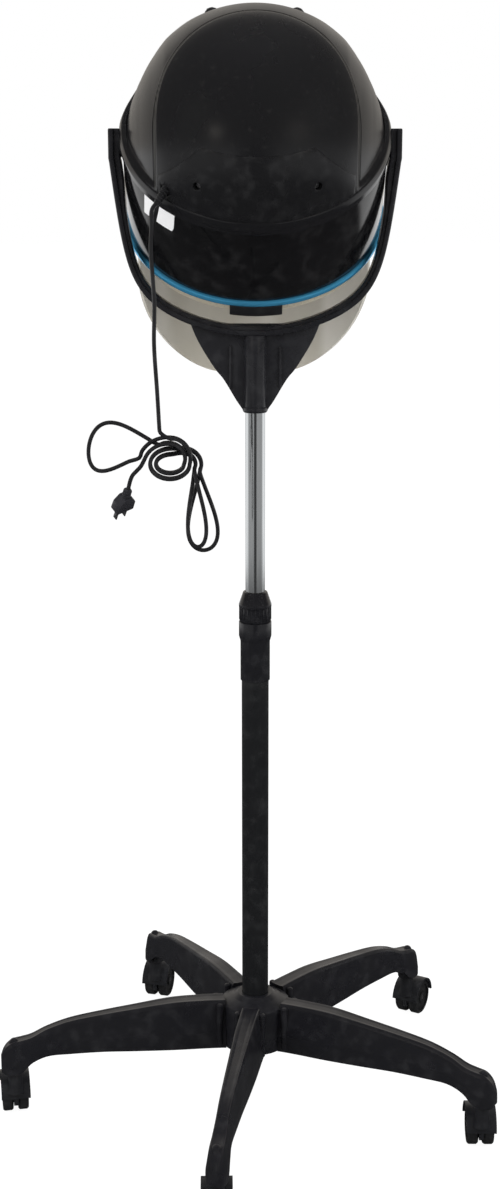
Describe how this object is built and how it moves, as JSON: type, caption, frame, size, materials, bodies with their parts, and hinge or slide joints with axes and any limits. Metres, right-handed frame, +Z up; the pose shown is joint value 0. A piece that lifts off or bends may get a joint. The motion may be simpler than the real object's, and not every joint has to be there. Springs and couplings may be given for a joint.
{
  "type": "hood hair dryer",
  "caption": "Tilting hood hair dryer with a visor, fan and heater, on a telescopic pole with a fork and a rolling star base.",
  "frame": {"origin": "on the pole axis at floor level", "axes": "+Z up along the pole; the hood opens towards +Y, so its back with the cord faces -Y; +X is to the right seen from the back"},
  "size_m": [0.6591, 0.6845, 1.427],
  "materials": {
    "black_plastic": "fine satin grain",
    "leg_plastic": "semi-gloss moulded",
    "shell_plastic": "semi-gloss moulded",
    "chrome": "mirror",
    "steel": "zinc plated",
    "black_tube": "powder coat",
    "natural_plastic": "natural",
    "blue_trim": "glossy",
    "beige_plastic": "satin",
    "liner_plastic": "satin",
    "visor_plastic": "smoky translucent",
    "motor_metal": "cast",
    "fan_plastic": "moulded",
    "mica": "mica board and wire",
    "grey_plastic": "moulded",
    "cord_rubber": "satin",
    "wheel_plastic": "satin"
  },
  "bodies": {
    "base": {"hub": "leg_plastic", "hub_plate": "black_tube", "hub_screws": "steel", "leg_1": "leg_plastic", "leg_2": "leg_plastic", "leg_3": "leg_plastic", "leg_4": "leg_plastic", "leg_5": "leg_plastic", "caster_stems": "steel", "lower_tube": "black_tube", "collar_body": "black_plastic"},
    "lock_nut": {"lock_nut": "black_plastic"},
    "bush": {"split_bush": "natural_plastic"},
    "mast": {"chrome_tube": "chrome", "tube_stop": "grey_plastic", "fork": "shell_plastic", "fork_screw": "steel", "pivot_screws": "steel", "friction_washers": "natural_plastic", "cord_bundle": "cord_rubber", "plug": "cord_rubber", "cord_drop": "cord_rubber"},
    "hood": {"top_shell": "shell_plastic", "rear_cover": "shell_plastic", "cover_screws": "steel", "lower_housing": "shell_plastic", "trim_ring": "blue_trim", "ribbed_collar": "beige_plastic", "rear_clip": "black_plastic", "inner_liner": "liner_plastic", "liner_crown": "liner_plastic", "fan_guard": "grey_plastic", "motor": "motor_metal", "heater": "mica", "thermostat": "grey_plastic", "timer_switch": "grey_plastic", "temp_switch": "grey_plastic", "strain_relief": "cord_rubber", "hinge_bracket": "black_plastic", "hinge_pin": "steel"},
    "fan": {"impeller": "fan_plastic", "motor_shaft": "steel"},
    "timer_knob": {"timer_knob": "black_plastic"},
    "temp_knob": {"temp_knob": "black_plastic"},
    "visor": {"visor": "visor_plastic"},
    "caster_1": {"caster_1_housing": "black_plastic"},
    "caster_1_roll": {"caster_1_axle": "steel", "caster_1_wheels": "wheel_plastic"},
    "caster_2": {"caster_2_housing": "black_plastic"},
    "caster_2_roll": {"caster_2_axle": "steel", "caster_2_wheels": "wheel_plastic"},
    "caster_3": {"caster_3_housing": "black_plastic"},
    "caster_3_roll": {"caster_3_axle": "steel", "caster_3_wheels": "wheel_plastic"},
    "caster_4": {"caster_4_housing": "black_plastic"},
    "caster_4_roll": {"caster_4_axle": "steel", "caster_4_wheels": "wheel_plastic"},
    "caster_5": {"caster_5_housing": "black_plastic"},
    "caster_5_roll": {"caster_5_axle": "steel", "caster_5_wheels": "wheel_plastic"}
  },
  "joints": [
    {"name": "lock_nut_twist", "type": "hinge", "parent": "base", "child": "lock_nut", "pos_m": [0, 0, 0.69], "axis": [0, 0, 1], "range_deg": [0, 90]},
    {"name": "mast_swivel", "type": "hinge", "parent": "base", "child": "bush", "pos_m": [0, 0, 0.64], "axis": [0, 0, 1], "continuous": true},
    {"name": "height_slide", "type": "slide", "parent": "bush", "child": "mast", "axis": [0, 0, 1], "range_m": [-0.165, 0.055]},
    {"name": "hood_tilt", "type": "hinge", "parent": "mast", "child": "hood", "pos_m": [0, 0, 1.265], "axis": [1, 0, 0], "range_deg": [-2, 45], "deforming": ["cord_drop"]},
    {"name": "fan_spin", "type": "hinge", "parent": "hood", "child": "fan", "pos_m": [0, -0.07217, 1.34802], "axis": [0, -0.6561, 0.7547], "continuous": true},
    {"name": "timer_knob_turn", "type": "hinge", "parent": "hood", "child": "timer_knob", "pos_m": [-0.05128, 0.04089, 1.4164], "axis": [-0.3108, 0.2478, 0.9176], "range_deg": [0, 300]},
    {"name": "temp_knob_turn", "type": "hinge", "parent": "hood", "child": "temp_knob", "pos_m": [0.05128, 0.04089, 1.4164], "axis": [0.3108, 0.2478, 0.9176], "range_deg": [0, 90]},
    {"name": "visor_flip", "type": "hinge", "parent": "hood", "child": "visor", "pos_m": [0, 0.20555, 1.29528], "axis": [1, 0, 0], "range_deg": [0, 100]},
    {"name": "caster_1_swivel", "type": "hinge", "parent": "base", "child": "caster_1", "pos_m": [-0.05252, -0.32073, 0.058], "axis": [0, 0, 1], "continuous": true},
    {"name": "caster_1_spin", "type": "hinge", "parent": "caster_1", "child": "caster_1_roll", "pos_m": [-0.05252, -0.29873, 0.025], "axis": [-1, 0, 0], "continuous": true},
    {"name": "caster_2_swivel", "type": "hinge", "parent": "base", "child": "caster_2", "pos_m": [0.2888, -0.14906, 0.058], "axis": [0, 0, 1], "continuous": true},
    {"name": "caster_2_spin", "type": "hinge", "parent": "caster_2", "child": "caster_2_roll", "pos_m": [0.28957, -0.12707, 0.025], "axis": [-0.9994, 0.0349, 0], "continuous": true},
    {"name": "caster_3_swivel", "type": "hinge", "parent": "base", "child": "caster_3", "pos_m": [0.23101, 0.2286, 0.058], "axis": [0, 0, 1], "continuous": true},
    {"name": "caster_3_spin", "type": "hinge", "parent": "caster_3", "child": "caster_3_roll", "pos_m": [0.24201, 0.24766, 0.025], "axis": [-0.866, 0.5, 0], "continuous": true},
    {"name": "caster_4_swivel", "type": "hinge", "parent": "base", "child": "caster_4", "pos_m": [-0.14603, 0.29035, 0.058], "axis": [0, 0, 1], "continuous": true},
    {"name": "caster_4_spin", "type": "hinge", "parent": "caster_4", "child": "caster_4_roll", "pos_m": [-0.14033, 0.3116, 0.025], "axis": [-0.9659, 0.2588, 0], "continuous": true},
    {"name": "caster_5_swivel", "type": "hinge", "parent": "base", "child": "caster_5", "pos_m": [-0.32126, -0.04916, 0.058], "axis": [0, 0, 1], "continuous": true},
    {"name": "caster_5_spin", "type": "hinge", "parent": "caster_5", "child": "caster_5_roll", "pos_m": [-0.32508, -0.02749, 0.025], "axis": [-0.9848, -0.1736, 0], "continuous": true}
  ]
}
